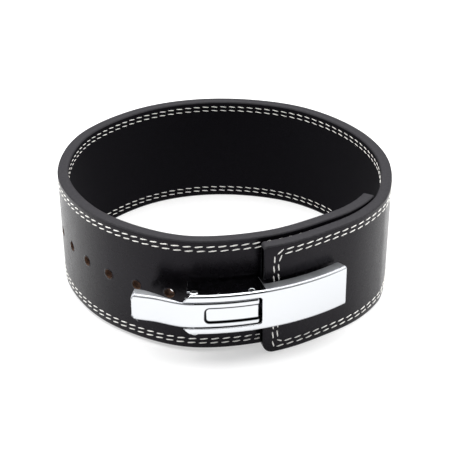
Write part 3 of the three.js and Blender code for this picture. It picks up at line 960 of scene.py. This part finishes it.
def hook_place(u, v):
    """Where a point of the flat drawing goes, and its distance to the groove as a share of the
    width of the painted dark line, which is wider low down as painted shade on the lower flank.
    A smooth step sinks the panel, and a circle draws the left corners in, most of all at the
    face."""
    height, depth = channel_section(v, HOOK_HALF)
    panel = box_edge(u, height, PANEL_START, HOOK_PIN_ALONG + PAST_HOOK, -PANEL_HALF,
                     PANEL_HALF, PANEL_CORNER)
    depth = depth + PANEL_DEEP * smooth_step(0.5 - panel / PANEL_SLOPE)
    line = PANEL_LINE - PANEL_LINE_LEAN * height / PANEL_HALF
    along, deep = roll_knuckle(u, depth)
    along, deep = fold_tab(u, v, along, deep)
    corner = END_CORNER * (1 - END_CORNER_FADE * smooth_step(deep / HOOK_FLANGE))
    inside = np.clip(corner - (along + HOOK_REACH), 0, corner)
    room = HOOK_HALF - corner + np.sqrt(corner ** 2 - inside ** 2)
    place = buckle_point(along, deep + hook_sink(along), height * room / HOOK_HALF)
    return place, np.abs(panel) / line


def make_hook_plate():
    """Points, faces, which faces are satin, and the groove's distance at each point."""
    bend_start, bend_end = bend_limits(HOOK_HALF)
    edge = bend_end + HOOK_FLANGE - BEND
    half = np.concatenate([even_steps([0, TAB_HALF, TAB_HALF + TAB_SLIT], HOOK_CELL)[:-1],
                           even_steps([TAB_HALF + TAB_SLIT, bend_end], HOOK_BEND_CELL)[:-1],
                           even_steps([bend_end, edge], HOOK_FLANGE_CELL)])
    us = even_steps([TAB_LOW, -HOOK_REACH, -HOOK_REACH + TAB_BEND, ROLL_START, ROLL_END],
                    HOOK_CELL)
    u, v, faces = cut_sheet(us, both_sides(half), hook_outline)
    satin = (u[faces].mean(1) < 0) & (np.abs(v[faces]).mean(1) > bend_start + SATIN_FROM)
    place, groove = hook_place(u, v)
    return place, faces, satin, groove


points, faces, satin, groove = make_hook_plate()
hook_plate = add_piece("hook_plate_shell", points, [faces[:, ::-1]], "hook",
                       [chrome_with_painted_groove_shade(), satin_chrome], satin)
# the groove distance sets where the painted dark line lies, a painted reflection of the dim
# room
layer = hook_plate.data.attributes.new("groove", "FLOAT", "POINT")
layer.data.foreach_set("value", groove.astype(np.float32))
finish_sheet(hook_plate, thickness=1.5, rounding=0.35)
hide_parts("hook_plate")

# %% Tooth of the hook plate
TOOTH_RADIUS = 3.2
TOOTH_LENGTH = 11.0
TOOTH_ROUND = 1.2
TOOTH_ROOT = 1.0
TOOTH_SHOULDER = 2.0
TOOTH_SIDES = 32


def make_tooth():
    """A turned peg: its profile is a straight side and a quarter circle at the tip, carried
    round the peg's own axis."""
    turn = np.radians(np.linspace(0, 90, 6))
    radius = np.concatenate([[TOOTH_RADIUS, TOOTH_RADIUS],
                             TOOTH_RADIUS - TOOTH_ROUND * (1 - np.cos(turn))])
    tip = HOOK_SINK + HOOK_FLANGE + TOOTH_LENGTH
    deep = np.concatenate([[HOOK_SINK + TOOTH_ROOT, tip - TOOTH_ROUND - TOOTH_SHOULDER],
                           tip - TOOTH_ROUND + TOOTH_ROUND * np.sin(turn)])
    around = np.linspace(0, 2 * np.pi, TOOTH_SIDES, endpoint=False)
    along = -HOOK_REACH + TOOTH_RADIUS + np.outer(np.cos(around), radius)
    height = np.outer(np.sin(around), radius)
    place = buckle_point(along, np.broadcast_to(deep, along.shape), height)
    faces = grid_faces(TOOTH_SIDES, len(radius), close_rows=True)
    number = np.arange(along.size).reshape(along.shape)
    return place.reshape(-1, 3), faces, np.stack([number[:, 0], number[::-1, -1]])


points, faces, caps = make_tooth()
add_piece("hook_tooth", points, [faces[:, ::-1], caps[:, ::-1]], "hook",
          [bright_chrome])

# %% [markdown]
# The base plate, pins and screws are simple turned and cut pieces that the frame already
# shows at their true shape, so they only need their metal.

# %% Metal of the frame's own pieces
for name in ("base_plate", "hinge_pin", "hook_pin", "base_screw_1", "base_screw_2"):
    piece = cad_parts[name]
    piece.data.materials.clear()
    piece.data.materials.append(bright_chrome if name == "base_plate" else turned_steel)

# %% [markdown]
# The studio is a dim room with a pale floor that glows a little, like a light table. A wide
# soft ceiling hangs over it, with a panel behind and one at each side. The lever's face looks
# white because it mirrors the floor in front of it. Its rounded edges mirror the dim room,
# which draws dark lines, and its top flange looks black because it mirrors the leather.

# %% Floor
FLOOR_HALF = 6.0
FLOOR_COLOUR = "#bebebe"
FLOOR_GLOW = 0.5


def make_floor():
    """One square of the studio, which isn't part of the belt."""
    material, tree, shader, place = start_material("pale_studio_floor")
    shader.inputs["Base Color"].default_value = from_hex(FLOOR_COLOUR)
    shader.inputs["Roughness"].default_value = 0.9
    shader.inputs["Specular IOR Level"].default_value = 0.1
    shader.inputs["Emission Color"].default_value = from_hex("#ffffff")
    shader.inputs["Emission Strength"].default_value = FLOOR_GLOW
    mesh = bpy.data.meshes.new("studio_floor")
    far = FLOOR_HALF
    mesh.from_pydata([(-far, -far, 0), (far, -far, 0), (far, far, 0), (-far, far, 0)], [],
                     [(0, 1, 2, 3)])
    mesh.materials.append(material)
    floor = bpy.data.objects.new("studio_floor", mesh)
    bpy.context.scene.collection.objects.link(floor)


make_floor()


# %% Lights
ROOM_LIGHT = 0.05


def soft_light(name, place, target, width, height, power):
    """An area light of a size in metres and a power in watts, aimed at a point."""
    data = bpy.data.lights.new(name, "AREA")
    data.shape = "RECTANGLE"
    data.size = width
    data.size_y = height
    data.energy = power
    light = bpy.data.objects.new(name, data)
    light.location = place
    aim = Vector(target) - Vector(place)
    light.rotation_euler = aim.to_track_quat("-Z", "Y").to_euler()
    bpy.context.scene.collection.objects.link(light)


soft_light("ceiling", (0, 0.45, 1.7), (0, 0.45, 0), width=3.2, height=2.6, power=108)
soft_light("back_panel", (0, 2.3, 1.25), (0, 0, 0.2), width=3.2, height=1.3, power=2)
for name, side in (("left_panel", -1), ("right_panel", 1)):
    soft_light(name, (side * 1.5, 0.2, 0.6), (0, 0, 0.05), width=1.0, height=1.0, power=12)

world = bpy.data.worlds.new("dim_studio_room")
world.use_nodes = True
background = world.node_tree.nodes["Background"]
background.inputs["Color"].default_value = from_hex("#ffffff")
background.inputs["Strength"].default_value = ROOM_LIGHT
bpy.context.scene.world = world
bpy.context.scene.view_settings.view_transform = "Standard"

# %% [markdown]
# The camera stands a little left of the middle and a metre in front, and looks down by 28
# degrees through a long lens. Its place, its directions and its lens were fitted to the
# photograph and then rounded.

# %% Camera
CAMERA_PLACE = np.array([-31.75, -1034.01, 600.72]) / 1000
CAMERA_RIGHT = np.array([0.9994, -0.0339, -0.0058])
CAMERA_UP = np.array([0.0211, 0.4725, 0.8811])
LENS = 106.31


def make_camera():
    """The camera's third axis is square to its right and its up, and points backwards."""
    data = bpy.data.cameras.new("photo_camera")
    data.lens = LENS
    data.sensor_width = 36.0
    data.sensor_fit = "HORIZONTAL"
    data.clip_end = 50
    camera = bpy.data.objects.new("photo_camera", data)
    right = CAMERA_RIGHT / np.linalg.norm(CAMERA_RIGHT)
    up = CAMERA_UP - right * (CAMERA_UP @ right)
    up /= np.linalg.norm(up)
    turn = Matrix(np.stack([right, up, np.cross(right, up)], -1).tolist()).to_4x4()
    camera.matrix_world = Matrix.Translation(Vector(CAMERA_PLACE)) @ turn
    bpy.context.scene.collection.objects.link(camera)
    bpy.context.scene.camera = camera


make_camera()
